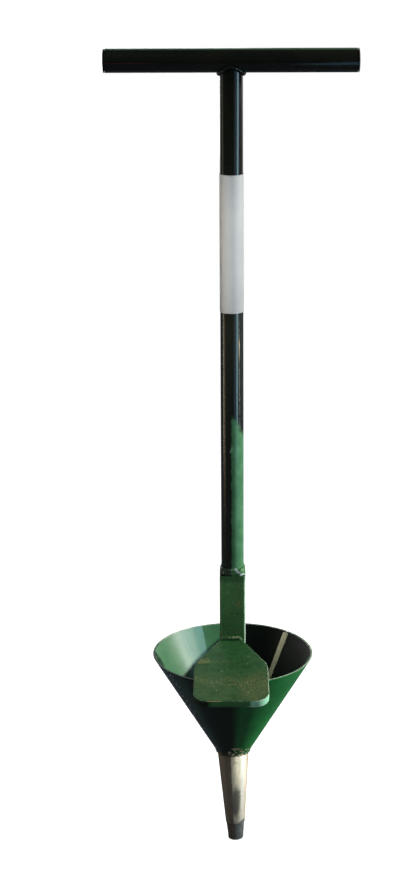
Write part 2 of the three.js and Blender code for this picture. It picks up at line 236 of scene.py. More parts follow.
def lamp(name, size, power, colour, azimuth, height, distance, aim, tilt=0, spread=None, only=None):
    """An area lamp, in metres, watts and degrees, aimed at a height on the shaft's line.

    Azimuth 0 is straight in front of the tool and 90 is to its right. A lamp for "gloss" only
    stands in for something that the tool mirrored; one for "light" only is not mirrored.
    """
    data = bpy.data.lights.new(name, "AREA")
    data.shape = "RECTANGLE"
    data.size, data.size_y = size
    data.energy = power
    data.color = colour
    if spread:
        data.spread = spread
    holder = bpy.data.objects.new(name, data)
    scene.collection.objects.link(holder)
    turn = math.radians(azimuth)
    place = Vector((math.sin(turn) * distance, -math.cos(turn) * distance, height))
    holder.matrix_world = Matrix.Translation(place) @ (
        (Vector((0, 0, aim)) - place).to_track_quat("-Z", "Y").to_matrix().to_4x4()
    ) @ Matrix.Rotation(math.radians(tilt), 4, "Z")
    holder.visible_camera = False
    holder.visible_diffuse = only != "gloss"
    holder.visible_glossy = only != "light"


lamp("key", (0.1, 0.1), 122, (1, 0.98, 0.94), 97, 1.12, 3, 0.3)
lamp("fill", (0.9, 0.9), 22, (0.96, 0.99, 1), -42, 2.2, 1.2, 0.3, only="light")
lamp("label_lamp", (0.05, 0.13), 0.092, (1, 0.98, 0.96), -4, 0.607, 0.6, 0.607,
     spread=NARROW, only="light")
for name, power, colour, azimuth in [
    ("ground_glow", 0.055, (1, 0.97, 0.9), 24),
    ("side_glow", 0.05, (1, 0.98, 0.9), 74),
]:
    lamp(name, (0.07, 0.12), power, colour, azimuth, 0.07, 0.5, 0.05, spread=NARROW, only="gloss")
for name, size, power, colour, azimuth, height, tilt in [
    ("window", (0.25, 0.75), 5, (0.5, 0.84, 1), 60, 0.42, -34),
    ("window_edge", (0.3, 0.75), 0.7, (0.35, 0.72, 1), 35, 0.42, -34),
    ("left_wall", (0.1, 0.28), 0.6, (1, 0.94, 0.72), -94, 0.24, 0),
    ("left_wall_top", (0.1, 0.3), 0.2, (0.95, 1, 0.88), -94, 0.5, 0),
    ("left_hedge", (0.12, 0.26), 0.32, (1, 0.7, 0.38), -79, 0.17, 0),
]:
    lamp(name, size, power, colour, azimuth, height, 1.0, height, tilt, only="gloss")
lamp("back", (0.8, 1.2), 14, (1, 1, 1), 190, 0.9, 2.0, 0.4)

# Floor, nearly white where it is seen and dark in the light that it throws up at the tool
FLOOR_HALF = 30
shape = bmesh.new()
bmesh.ops.create_grid(shape, x_segments=1, y_segments=1, size=FLOOR_HALF)
floor_mesh = bpy.data.meshes.new("floor")
shape.to_mesh(floor_mesh)
shape.free()
floor = bpy.data.objects.new("floor", floor_mesh)
scene.collection.objects.link(floor)
floor_mesh.materials.append(bpy.data.materials.new("floor"))
ground = Finish(floor_mesh.materials[0])
ground_place = ground.node("TexCoord", output="Object")
_, depth, _ = ground.axes(ground_place)
away = ground.node("VectorMath", {"operation": "LENGTH"}, {0: ground_place}, "Value")
matt = ground.node("BsdfDiffuse", values={"Color": (0.105, 0.122, 0.145, 1)})
pale = ground.node("BsdfDiffuse", values={"Color": (0.6, 0.6, 0.6, 1)})
glow = ground.node("Emission", values={"Color": (1, 1, 1, 1), "Strength": 0.85})
near = ground.node("AddShader", values={0: pale, 1: glow})
far = ground.node("Emission", values={"Color": (1, 1, 1, 1), "Strength": 1})
seen = ground.node("MixShader", values={0: away.rises(0.4, 1.6), 1: near, 2: far})
ground.node("OutputMaterial", values={
    "Surface": ground.node("MixShader", values={
        0: seen_rays(ground, depth.rises(1.5, 4)), 1: matt, 2: seen,
    }),
})


# Shapes, in millimetres until they are made pieces
def piece(name, node, shape, finish, crease=32):
    """Closes a shape, makes it an object and puts it in place of its CAD node."""
    tidy(shape)
    bmesh.ops.scale(shape, vec=(MM, MM, MM), verts=shape.verts)
    mesh = bpy.data.meshes.new(name)
    shape.to_mesh(mesh)
    shape.free()
    mesh.materials.append(finish)
    mesh.shade_smooth()
    mesh.set_sharp_from_angle(angle=math.radians(crease))
    made = bpy.data.objects.new(name, mesh)
    scene.collection.objects.link(made)
    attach(made, "root")
    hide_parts(node)


def tidy(shape):
    """Merges doubled points and turns every face outwards."""
    bmesh.ops.remove_doubles(shape, verts=shape.verts, dist=1e-3)
    bmesh.ops.recalc_face_normals(shape, faces=shape.faces)


def turned(outline, steps=96, sweep=TURN):
    """A solid turned about Z from (radius, height) pairs; one off the axis is closed to a ring."""
    shape = bmesh.new()
    verts = [shape.verts.new((radius, 0, height)) for radius, height in outline]
    pairs = list(zip(verts, verts[1:]))
    if outline[0][0] > 0:
        pairs.append((verts[-1], verts[0]))
    edges = [shape.edges.new(pair) for pair in pairs]
    bmesh.ops.spin(
        shape, geom=verts + edges, axis=(0, 0, 1), cent=(0, 0, 0), angle=sweep, steps=steps,
        use_merge=sweep == TURN,
    )
    if sweep != TURN:
        ends = [edge for edge in shape.edges if edge.is_boundary]
        bmesh.ops.holes_fill(shape, edges=ends, sides=0)
    tidy(shape)
    return shape


def ease(shape, width, segments, sharper_than=40):
    """Rounds the edges that are sharper than an angle in degrees."""
    limit = math.radians(sharper_than)
    sharp = [edge for edge in shape.edges if edge.calc_face_angle(0) > limit]
    bmesh.ops.bevel(
        shape, geom=sharp, offset=width, offset_type="OFFSET", affect="EDGES",
        segments=segments, profile=0.5, material=-1, clamp_overlap=True,
    )


def ring_outline(outer, inner, low, high):
    """The section of a tube, for turned."""
    return [(outer, low), (outer, high), (inner, high), (inner, low)]


def verts_of(parts):
    """The points among the parts that an operator made."""
    return [part for part in parts if isinstance(part, bmesh.types.BMVert)]


# Weld beads
def outwards(angle):
    """The direction away from the shaft's line at an angle round it."""
    return Vector((math.cos(angle), math.sin(angle), 0))


def bead(place, size, steps, sides=16, sweep=TURN):
    """A round section carried along a way.

    place takes a share of the way and gives the middle, the outward and the rising direction;
    size takes a share and the angle round the section and gives the reach there.
    """
    stand_off = 10
    shape = bmesh.new()
    bmesh.ops.create_circle(shape, radius=1, segments=sides)
    bmesh.ops.rotate(
        shape, cent=(0, 0, 0), matrix=Matrix.Rotation(math.pi / 2, 3, "X"), verts=shape.verts,
    )
    bmesh.ops.translate(shape, vec=(stand_off, 0, 0), verts=shape.verts)
    bmesh.ops.spin(
        shape, geom=shape.verts[:] + shape.edges[:], axis=(0, 0, 1), cent=(0, 0, 0),
        angle=sweep, steps=steps, use_merge=sweep == TURN,
    )
    if sweep != TURN:
        ends = [edge for edge in shape.edges if edge.is_boundary]
        bmesh.ops.holes_fill(shape, edges=ends, sides=0)
    for vert in shape.verts:
        share = (math.atan2(vert.co.y, vert.co.x) % TURN) / sweep
        if share > 1.0001:  # rounding put the start a hair before 0
            share = 0
        across = math.hypot(vert.co.x, vert.co.y) - stand_off
        angle = math.atan2(vert.co.z, across)
        middle, outward, rise = place(share)
        reach = size(share, angle)
        vert.co = middle + outward * (across * reach) + rise * (vert.co.z * reach)
    return shape


def ripple(share, angle, count, depth, lean, seed):
    """The swell of a hand-laid bead: curved ripples, with some unevenness."""
    phase = TURN * count * share + lean * math.cos(angle)
    rough = noise.noise(Vector((share * count * 1.3 + seed, math.sin(angle), seed)))
    return 1 + depth * (math.cos(phase) + 0.9 * rough)


def end_taper(share, length, radius):
    """Rounds off the two ends of an open bead."""
    left = min(share, 1 - share) * length / radius
    return math.sqrt(max(1e-6, 1 - (1 - min(left, 1)) ** 2))


def way(points):
    """Gives the point at a share of the length of a line through points."""
    lengths = [(b - a).length for a, b in zip(points, points[1:])]
    total = sum(lengths)

    def at(share):
        left = min(max(share, 0), 1) * total
        for start, end, length in zip(points, points[1:], lengths):
            if left <= length:
                return start.lerp(end, left / length)
            left -= length
        return points[-1].copy()

    return at


# Enamels
def worn_enamel(finish, where, coat, worn, dulled, depth, specular):
    """Lays the wear and painted light of a piece over a coat and ends the finish."""
    colour, rough, height = coat
    for share, tint in worn(finish, where) if worn else ():
        colour = finish.blend(share, colour, tint)
        rough = rough + share * dulled
    return finish.surface(colour, rough, height, depth, specular)


def dark_coat(finish, where):
    """Colour, roughness and height of the near-black coat, which is painted shade: the green enamel
    as dark as it looks in the shadow over the handle and upper shaft.
    """
    smear = finish.cloud(where, 9, 3)
    peel = finish.cloud(where, 1.1, 1)
    dust = finish.flecks(where, 2.6, 0.07, 0.3)
    # Near-black painted shade over the green enamel, with a few dust flecks
    colour = finish.layers(
        rgb(17, 20, 15), (finish.cloud(where, 34, 3).rises(0.42, 0.62), rgb(23, 24, 18)),
        (dust * 0.6, rgb(96, 96, 78)),
    )
    return colour, 0.12 + smear * 0.12 + dust * 0.3, peel + dust


def dark_enamel(name, worn=None):
    """The enamel in near-black painted shade, under the wear and painted light of a piece."""
    finish = new_finish(name)
    where = finish.place()
    return worn_enamel(finish, where, dark_coat(finish, where), worn, 0.2, 0.012, 0.4)


def green_coat(finish, where, deep, fresh, dusty):
    """Colour, roughness and height of the green enamel, with its dust."""
    grain = finish.cloud(where, 0.7, 2)
    dust = finish.flecks(where, 2.4, 0.22, 0.45) | finish.flecks(where, 5.2, 0.3, 0.7)
    colour = finish.layers(
        deep, (finish.cloud(where, 14, 4, 0.6).rises(0.38, 0.62), fresh),
        (grain.rises(0.35, 0.8) * 0.35, dusty), (dust * 0.6, rgb(190, 186, 140)),
    )
    return colour, 0.3 + grain * 0.16 + dust * 0.3, grain + dust * 2


def green_enamel(name, worn=None):
    """The green enamel, under the wear and painted light of a piece."""
    finish = new_finish(name)
    where = finish.place()
    coat = green_coat(finish, where, rgb(60, 116, 66), rgb(72, 130, 78), rgb(118, 150, 100))
    return worn_enamel(finish, where, coat, worn, 0.25, 0.025, 0.2)


# Clearance between pieces, and the distance of a bead's middle from the faces that it joins
FIT, BEAD_OFF = 0.3, 1

# Handle, a crossbar with two end caps
OVERALL_HEIGHT = 800
HANDLE_RADIUS, HANDLE_WALL, HANDLE_HALF = 11.25, 2, 116.4
HANDLE_HEIGHT = OVERALL_HEIGHT - HANDLE_RADIUS
CAP_RIM, CAP_DOME, CAP_DEPTH, CAP_WALL = 0.9, 1.4, 14, 1.6
DOME_STEPS = 14


def along_handle(shape, side=1, reach=0.0):
    """Lays a shape that was made about Z along the handle."""
    bmesh.ops.rotate(
        shape, cent=(0, 0, 0), matrix=Matrix.Rotation(side * math.pi / 2, 3, "Y"),
        verts=shape.verts,
    )
    bmesh.ops.translate(shape, vec=(side * reach, 0, HANDLE_HEIGHT), verts=shape.verts)
    return shape


def crossbar():
    inner = HANDLE_RADIUS - HANDLE_WALL
    shape = turned(ring_outline(HANDLE_RADIUS, inner, -HANDLE_HALF, HANDLE_HALF), 128)
    ease(shape, 0.25, 2)
    return along_handle(shape)


def end_cap(side):
    """A domed cap with a hollow spigot; side is -1 at the left end and 1 at the right."""
    spigot = HANDLE_RADIUS - HANDLE_WALL - FIT
    bore = spigot - CAP_WALL
    quarter = [math.pi / 2 * step / DOME_STEPS for step in range(DOME_STEPS)]
    dome = [
        (HANDLE_RADIUS * math.cos(angle), CAP_RIM + CAP_DOME * math.sin(angle)) for angle in quarter
    ]
    shape = turned([
        (0, -CAP_WALL), (bore, -CAP_WALL), (bore, -CAP_DEPTH), (spigot, -CAP_DEPTH),
        (spigot, 0), (HANDLE_RADIUS, 0), *dome, (0, CAP_RIM + CAP_DOME),
    ])
    ease(shape, 0.3, 2, 60)
    return along_handle(shape, side, HANDLE_HALF + FIT)


def grip_wear_and_highlight(finish, where):
    """A painted highlight in green along the top, a red-brown scratch on the left, a rusty bloom
    below.
    """
    x, y, z = finish.axes(where)
    # Painted highlight: the top of the crossbar lighter and greener, where light from above falls
    # on it
    yield z.rises(798.4, 799.6) * 0.7, rgb(70, 104, 78)
    scratch = (z - x * 0.012).between(788.3, 789.3, 0.3) * x.falls(-84, -60) * y.falls(-2, 0)
    bloom = finish.cloud(where, 6, 4).rises(0.5, 0.7) * z.falls(778.2, 780.5)
    yield scratch * 0.4 | bloom * 0.35, rgb(70, 38, 27)


piece("crossbar", "handle_tube", crossbar(),
      dark_enamel("crossbar_enamel", grip_wear_and_highlight))
CAP_ENAMEL = dark_enamel("cap_enamel")
piece("end_cap_left", "handle_plug_left", end_cap(-1), CAP_ENAMEL)
piece("end_cap_right", "handle_plug_right", end_cap(1), CAP_ENAMEL)

# Shaft, coped to the crossbar and welded to it
SHAFT_RADIUS, SHAFT_WALL, SHAFT_FOOT = 11, 2, 237.86
SADDLE_SIDE, SADDLE_FRONT = SHAFT_RADIUS + 0.9, SHAFT_RADIUS + 0.5
SADDLE_DROP, SADDLE_RADIUS, SADDLE_RIPPLES = 5, 2.15, 26


def shaft():
    """A tube whose top is cut to the round underside of the crossbar."""
    inner, cope = SHAFT_RADIUS - SHAFT_WALL, HANDLE_RADIUS + FIT
    shape = turned(ring_outline(SHAFT_RADIUS, inner, SHAFT_FOOT, HANDLE_HEIGHT), 128)
    for vert in shape.verts:
        if vert.co.z > SHAFT_FOOT + 1:
            vert.co.z = HANDLE_HEIGHT - math.sqrt(cope ** 2 - vert.co.y ** 2)
    return shape


def shaft_enamel():
    """Green enamel under near-black painted shade above a soft slanted shadow edge and down its
    left side, with a painted glint along a long scratched line.
    """
    finish = new_finish("shaft_enamel")
    where = finish.place()
    x, y, z = finish.axes(where)
    turn = x.turn_from(y * -1)
    dark, dark_rough, dark_height = dark_coat(finish, where)
    green, green_rough, green_height = green_coat(
        finish, where, rgb(64, 126, 78), rgb(80, 146, 98), rgb(120, 166, 128),
    )
    # Painted glint: a bright line down the right of the shaft along scratch marks, brightest a
    # little below the label
    glint = z.between(506, 527, 5)
    slant = turn + z * 0.05
    scratch = slant.between(63.5, 66, 1.2) | glint * slant.between(63, 67, 1)
    scratch = scratch * z.between(385, 545, 12)
    ragged = finish.cloud(finish.joined(x, y, z * 0.8), 1.1, 3).rises(0.38, 0.55)
    streaks = finish.cloud(finish.joined(x, y, z * 0.06), 1.6, 3)
    # Painted shadow edge: green below a soft slanted line and only on the right; elsewhere the
    # near-black painted shade stays, a little lighter below the label
    edge = 451 - turn.rises(-10, 80) * 20 + (finish.cloud(where, 9, 3) - 0.5) * 14
    below = (edge - z).rises(-5, 9)
    below = below * (turn + (finish.cloud(where, 6, 3) - 0.5) * 16).between(-3, 168, 6)
    chip = finish.oval(x * 0.9 - z * 0.25, z, (-104.74, 416.8), (1.2, 3.4)) * y.falls(-6, -4)
    colour = finish.layers(
        dark, (z.falls(530, 560) * 0.75, rgb(31, 35, 28)),
        (scratch * (0.25 + ragged * 0.7),
         finish.blend(glint, rgb(140, 152, 138), rgb(246, 226, 196))),
        (streaks.rises(0.55, 0.75) * 0.25, rgb(44, 42, 34)),
        (below, green), (chip * 0.8, rgb(118, 172, 132)),
    )
    rough = dark_rough + below * (green_rough - dark_rough)
    return finish.surface(colour, rough, dark_height + green_height * below * 0.6, 0.012, 0.4)


def saddle(share):
    """The way of the bead, round the shaft and up and down with the cope."""
    outward = outwards(TURN * share)
    drop = math.hypot((HANDLE_RADIUS + BEAD_OFF) * outward.x, SADDLE_DROP * outward.y)
    middle = Vector((SADDLE_SIDE * outward.x, SADDLE_FRONT * outward.y, HANDLE_HEIGHT - drop))
    return middle, outward, UP


def saddle_size(share, angle):
    """Flatter on its open side, so that it fills the corner like a fillet."""
    fillet = 1 - 0.3 * max(0, math.cos(angle + math.pi / 4)) ** 2
    return SADDLE_RADIUS * fillet * ripple(share, angle, SADDLE_RIPPLES, 0.07, 1.2, 3.1)


piece("shaft", "shaft_tube", shaft(), shaft_enamel())
piece("handle_weld", "saddle_weld", bead(saddle, saddle_size, 312),
      dark_enamel("handle_weld_enamel"), 60)

# Label, a bare sleeve of film
LABEL_DROP, LABEL_HEIGHT = 105, 132
LABEL_TOP = HANDLE_HEIGHT - LABEL_DROP
LABEL_INNER, LABEL_OUTER = SHAFT_RADIUS + 0.1, SHAFT_RADIUS + 0.4


def sleeve():
    foot = LABEL_TOP - LABEL_HEIGHT
    shape = turned(ring_outline(LABEL_OUTER, LABEL_INNER, foot, LABEL_TOP), 128)
    ease(shape, 0.08, 2)
    return shape


def bare_film():
    """The label's pale film, left bare, with handling dirt at its ends and its lapped seam."""
    finish = new_finish("label_film")
    where = finish.place()
    x, y, z = finish.axes(where)
    turn = x.turn_from(y * -1)
    behind = turn.maths("ABSOLUTE")
    from_middle = (z - (LABEL_TOP - LABEL_HEIGHT / 2)).maths("ABSOLUTE")
    ends = from_middle.rises(LABEL_HEIGHT / 2 - 3, LABEL_HEIGHT / 2)
    smudge = finish.cloud(where, 3, 4).rises(0.45, 0.7)
    fibres = finish.cloud(where, 0.5, 2)
    colour = finish.layers(
        rgb(164, 170, 172), (finish.cloud(where, 22, 4, 0.6).rises(0.35, 0.7), rgb(170, 176, 177)),
        (turn.falls(-60, 10) * 0.8, rgb(170, 164, 154)),
        (ends * smudge * 0.5, rgb(110, 108, 98)),
        (behind.between(171.5, 173, 0.4) * 0.5, rgb(105, 104, 98)),
    )
    lap = behind.rises(171.5, 173)
    return finish.surface(colour, 0.55 + fibres * 0.1, fibres * 0.3 + lap * 4, 0.02, 0.3)


piece("label_film", "label_sleeve", sleeve(), bare_film())

# Socket tube, a square hollow section, and the bead round the shaft on its top
SOCKET_HALF, SOCKET_WALL, SOCKET_CORNER = 12.7, 1.5, 2.5
SOCKET_FOOT, SOCKET_TOP = 211.86, 287.86
COLLAR_RADIUS, COLLAR_TALL, COLLAR_LIFT = 2.0, 2.73, 2
COLLAR_FLAT_INSET, COLLAR_CORNER_INSET = 2.5, 4.2


def socket():
    shape = bmesh.new()
    corners = bmesh.ops.create_grid(shape, x_segments=1, y_segments=1, size=SOCKET_HALF)["verts"]
    bmesh.ops.bevel(
        shape, geom=corners, offset=SOCKET_CORNER, affect="VERTICES", segments=8, profile=0.5,
        material=-1,
    )
    bmesh.ops.translate(shape, vec=(0, 0, SOCKET_FOOT), verts=shape.verts)
    bmesh.ops.inset_individual(
        shape, faces=shape.faces[:], thickness=SOCKET_WALL, use_even_offset=True,
    )
    inner = max(shape.faces, key=lambda face: len(face.verts))
    bmesh.ops.delete(shape, geom=[inner], context="FACES_ONLY")
    wall = bmesh.ops.extrude_face_region(shape, geom=shape.faces[:])["geom"]
    bmesh.ops.translate(shape, vec=(0, 0, SOCKET_TOP - SOCKET_FOOT), verts=verts_of(wall))
    tidy(shape)
    ease(shape, 0.3, 2, 60)
    return shape


def socket_wear_and_light(finish, where):
    """A painted highlight on the right corner, painted shade on the left corner with a thin painted
    highlight beside it, dust, soil and grime.
    """
    x, y, z = finish.axes(where)
    # Painted highlight: the right corner near white, broken up by a cloud; painted shade: the left
    # corner dark, with a pale line of painted highlight just inside it
    corner = (x.maths("ABSOLUTE") + y.maths("ABSOLUTE")).rises(22.5, 23.5)
    rubbed = corner * finish.cloud(where, 3.4, 4, 0.7).rises(0.32, 0.5)
    yield rubbed * x.rises(11.2, 12.0) * 0.95, rgb(214, 248, 232)
    yield corner * x.falls(-12.1, -11.7) * 0.7, rgb(22, 40, 24)
    yield corner * x.between(-11.5, -10.9, 0.15) * 0.35, rgb(130, 156, 120)
    mottled = finish.cloud(where, 3.2, 4, 0.65)
    yield mottled.rises(0.46, 0.6) * 0.4, rgb(84, 142, 86)
    smudge = finish.oval(x, z, (6.5, 259), (5.5, 4)) * 0.08
    dirt = (finish.cloud(where, 1.2, 4, 0.7) + smudge + x.rises(-8, 10) * 0.03).rises(0.59, 0.65)
    yield dirt * 0.5, rgb(164, 148, 96)
    pale = finish.flecks(where, 5.4, 0.2, 0.65) | finish.flecks(where, 2.3, 0.1, 0.5)
    yield pale * 0.75, rgb(206, 212, 202)
    yield (z + mottled * 12).rises(285, 291) * 0.6, rgb(34, 66, 34)
    grime = finish.cloud(where, 2.2, 4, 0.6).rises(0.48, 0.7) * z.falls(224, 236)
    yield grime * 0.55, rgb(92, 88, 56)


def collar(share):
    """The way of the bead, which widens into the tube's corners."""
    outward = outwards(TURN * share)
    to_corner = (SOCKET_HALF - SOCKET_CORNER) * math.sqrt(2) + SOCKET_CORNER
    corner, flat = to_corner - COLLAR_CORNER_INSET, SOCKET_HALF - COLLAR_FLAT_INSET
    reach = flat + (corner - flat) * math.sin(2 * TURN * share) ** 2
    return outward * reach + UP * (SOCKET_TOP + COLLAR_LIFT), outward, UP * COLLAR_TALL


def collar_size(share, angle):
    """Lumpy, as a bead laid by hand in several runs."""
    spot = outwards(TURN * share) + UP * (0.35 * math.sin(angle))
    lumps = noise.noise(spot * 2.2) + 0.6 * noise.noise(spot * 5.1)
    return COLLAR_RADIUS * (1 + 0.13 * lumps) * ripple(share, angle, 23, 0.018, 1.4, 9.4)


def collar_weld():
    """A bead that lies flat on the tube's top."""
    shape = bead(collar, collar_size, 312, 20)
    for vert in shape.verts:
        vert.co.z = max(vert.co.z, SOCKET_TOP + 0.2)
    return shape


def weld_wear(finish, where):
    """Rust and grime between the ripples of a bead, and bright spatter."""
    pits = finish.cloud(where, 1.5, 4, 0.65)
    yield pits.rises(0.52, 0.68) * 0.5, rgb(60, 56, 34)
    yield finish.cloud(where, 1.0, 2).rises(0.66, 0.76) * 0.6, rgb(176, 160, 112)


def collar_wear_and_light(finish, where):
    """Near-black painted shade over the left of the bead, and a painted glint on its right."""
    x, y, z = finish.axes(where)
    lumps = finish.cloud(where, 2.0, 4, 0.65)
    yield from weld_wear(finish, where)
    # Painted shade: the left of the bead near-black; painted glint: a bright patch on the lumps at
    # its right front
    yield (x + (lumps - 0.5) * 9).falls(-3, 2) * 0.85, rgb(38, 33, 32)
    glint = finish.oval(x + (z - 290) * 1.1, y, (8.2, -8), (3.2, 6)) * 0.2
    yield (lumps + glint).rises(0.6, 0.68) * y.falls(-2, 0) * 0.9, rgb(214, 236, 232)


piece("socket", "socket_tube", socket(), green_enamel("socket_enamel", socket_wear_and_light),
      25)
piece("collar_weld", "socket_weld", collar_weld(), green_enamel("collar_enamel", collar_wear_and_light),
      60)

# Foot tread, a plate that slopes from the socket tube to the cone's lip
TREAD_THICK, TREAD_LENGTH, TREAD_SHIFT = 7.5, 105.8, -1.6
TREAD_ROOT_HALF, TREAD_SHOULDER_HALF, TREAD_FRONT_HALF = 10.2, 35.5, 36.4
TREAD_FLARE, SHOULDER_ROUND, FRONT_ROUND = 44.5, 6, 14
TREAD_SLOPE = math.radians(11.8)
TREAD_ROOT = Vector((TREAD_SHIFT, -SOCKET_HALF, 222.526))
TREAD_ACROSS = Vector((1, 0, 0))
TREAD_ALONG = Vector((0, -math.cos(TREAD_SLOPE), -math.sin(TREAD_SLOPE)))
TREAD_DOWN = TREAD_ACROSS.cross(TREAD_ALONG)
TREAD_TURN = Matrix((TREAD_ACROSS, TREAD_ALONG, TREAD_DOWN)).transposed().to_4x4()


def tread():
    """A plate cut out flat, with rounded corners, and then laid in its place."""
    shape = bmesh.new()
    outline = [
        shape.verts.new((across, along, 0)) for across, along in [
            (-TREAD_ROOT_HALF, FIT), (TREAD_ROOT_HALF, FIT),
            (TREAD_SHOULDER_HALF, TREAD_FLARE), (TREAD_FRONT_HALF, TREAD_LENGTH),
            (-TREAD_FRONT_HALF, TREAD_LENGTH), (-TREAD_SHOULDER_HALF, TREAD_FLARE),
        ]
    ]
    shape.faces.new(outline)
    _, _, right_shoulder, right_front, left_front, left_shoulder = outline
    for corners, radius, segments in [
        ([right_shoulder, left_shoulder], SHOULDER_ROUND, 8),
        ([right_front, left_front], FRONT_ROUND, 14),
    ]:
        bmesh.ops.bevel(
            shape, geom=corners, offset=radius, affect="VERTICES", segments=segments,
            profile=0.5, material=-1,
        )
    plate = bmesh.ops.extrude_face_region(shape, geom=shape.faces[:])["geom"]
    bmesh.ops.translate(shape, vec=(0, 0, TREAD_THICK), verts=verts_of(plate))
    tidy(shape)
    ease(shape, 0.7, 4, 60)
    flats = [face for face in shape.faces if face.calc_area() > 2000]
    bmesh.ops.inset_individual(shape, faces=flats, thickness=0.4)
    bmesh.ops.transform(
        shape, matrix=Matrix.Translation(TREAD_ROOT) @ TREAD_TURN, verts=shape.verts,
    )
    return shape


def tread_wear_and_light(finish, where):
    """Soil rubbed across the plate by boots, a khaki patch, edges worn to the steel, painted shade
    on the top and the front left, and painted highlights on the right edges and side.
    """
    across, _, _ = finish.axes(where)
    across = across - TREAD_SHIFT
    along = finish.along(where, TREAD_ALONG) - TREAD_ROOT.dot(TREAD_ALONG)
    down = finish.along(where, TREAD_DOWN) - TREAD_ROOT.dot(TREAD_DOWN)
    sweep = along + (across * across) * 0.006
    smear = finish.joined(across * 0.3, sweep, 0.0)
    on_top = down.falls(0.3, 0.9)
    grain = finish.cloud(finish.joined(across, along, down), 1.3, 4, 0.65)
    core = sweep.between(70, 84, 5)
    band = core | sweep.between(60, 110, 8) * 0.6
    lumps = finish.cloud(where, 5, 4, 0.6)
    # Painted shade: the top face a deeper, darker green, as it looks where light only grazes it,
    # then darker blotches
    yield on_top * (0.7 + grain.rises(0.35, 0.65) * 0.25), rgb(33, 74, 35)
    yield on_top * lumps.rises(0.5, 0.6) * 0.4, rgb(24, 54, 27)
    trodden = band * finish.cloud(smear, 3.2, 4, 0.6).rises(0.36, 0.6) * grain.rises(0.46, 0.56)
    yield trodden * on_top * 0.75, rgb(112, 110, 66)
    right = finish.oval(across, along, (22, 84), (16, 22))
    yield right * grain.rises(0.42, 0.58) * on_top * 0.6, rgb(106, 108, 70)
    streak = finish.oval(across, along + across * 0.03, (-12, 39.5), (20, 2.6)) * 0.18
    warp = (lumps - 0.5) * 16
    patch = finish.oval(across + warp, along - warp * 0.6, (-27, 39.2), (6.5, 3.6)) | streak
    yield patch * grain.rises(0.38, 0.58) * on_top * 0.65, rgb(146, 144, 92)
    chips = finish.flecks(where, 1.4, 0.4, 0.5) * (core | right * 0.8) * 0.7
    chips = chips | finish.flecks(where, 5, 0.25, 0.6)
    yield chips * on_top * 0.8, rgb(200, 188, 138)
    worn_rim = finish.cloud(where, 2.6, 4, 0.7).rises(0.38, 0.6)
    sparkle = finish.cloud(where, 1.1, 3, 0.7).rises(0.44, 0.56)
    side = down.rises(0.6, 1.0)
    # Painted shade on the front left of the side faces, and a painted highlight in pale green along
    # their right
    front_left = along.rises(84, 92) * across.falls(-24, -18)
    yield side * front_left * 0.93, rgb(20, 21, 17)
    yield side * across.rises(17, 20) * 0.92, rgb(172, 255, 212)
    # Top edges worn paler in places, with a painted highlight that grows towards the right
    rim = down.between(0.12, 0.75, 0.1)
    yield rim * (worn_rim * 0.45 | across.rises(18, 30) * 0.7), rgb(164, 200, 166)
    # Painted highlights: bright glints along the right top edges and the right lower edge
    yield rim * across.rises(16, 26) * sparkle, rgb(236, 246, 232)
    low_rim = down.between(TREAD_THICK - 1.6, TREAD_THICK - 0.1, 0.2) * across.rises(12, 20)
    yield low_rim * sparkle * 0.95, rgb(240, 248, 240)
    front = along.rises(104.4, 105.2) * rim
    gold = across.between(-23, -10, 2) * 0.9 | across.between(-30, -28, 0.6) * 0.5
    yield front * gold * (0.3 + worn_rim * 0.7), rgb(240, 196, 134)


piece("tread", "foot_tread", tread(), green_enamel("tread_enamel", tread_wear_and_light),
      45)

# Beads that hold the tread's root to the socket tube
BEAD_RADIUS = 2.2
ROOT_FACE = -(SOCKET_HALF + BEAD_OFF)
ROOT_SIDE, ROOT_TOP, ROOT_LOW, ROOT_BEND, BEND_STEPS = 9.5, 223.026, 215.864, 3, 8
UNDERSIDE_HEIGHT, UNDER_HALF = 214.864, 8


def tread_underside(reach):
    """The height of the tread's underside at a distance from the shaft's line."""
    return UNDERSIDE_HEIGHT - math.tan(TREAD_SLOPE) * (reach - SOCKET_HALF)


def root_arch():
    """Points up one side of the tread's root, over its top and down the other side."""
    arch = [Vector((TREAD_SHIFT - ROOT_SIDE, ROOT_FACE, ROOT_LOW))]
    bend_reach = ROOT_SIDE - ROOT_BEND
    for middle, start in [(-bend_reach, math.pi), (bend_reach, math.pi / 2)]:
        for step in range(BEND_STEPS + 1):
            turn = start - math.pi / 2 * step / BEND_STEPS
            arch.append(Vector((
                TREAD_SHIFT + middle + ROOT_BEND * math.cos(turn), ROOT_FACE,
                ROOT_TOP - ROOT_BEND + ROOT_BEND * math.sin(turn),
            )))
    arch.append(Vector((TREAD_SHIFT + ROOT_SIDE, ROOT_FACE, ROOT_LOW)))
    return arch


def root_weld():
    root_way = way(root_arch())

    def place(share):
        ahead = (root_way(share + 0.01) - root_way(share - 0.01)).normalized()
        outward = Vector((0, -1, 0))
        return root_way(share), outward, ahead.cross(outward)

    def size(share, angle):
        return BEAD_RADIUS * end_taper(share, 33, 2) * ripple(share, angle, 9, 0.04, 1.2, 5.2)

    return bead(place, size, 108, sweep=math.pi)


def under_weld():
    height = tread_underside(SOCKET_HALF + BEAD_OFF) - BEAD_OFF

    def place(share):
        across = TREAD_SHIFT - UNDER_HALF + 2 * UNDER_HALF * share
        return Vector((across, ROOT_FACE, height)), Vector((0, -1, 0)), UP

    def size(share, angle):
        taper = end_taper(share, 2 * UNDER_HALF, 2)
        return BEAD_RADIUS * taper * ripple(share, angle, 5, 0.07, 1.2, 7.7)

    return bead(place, size, 64, sweep=math.pi)


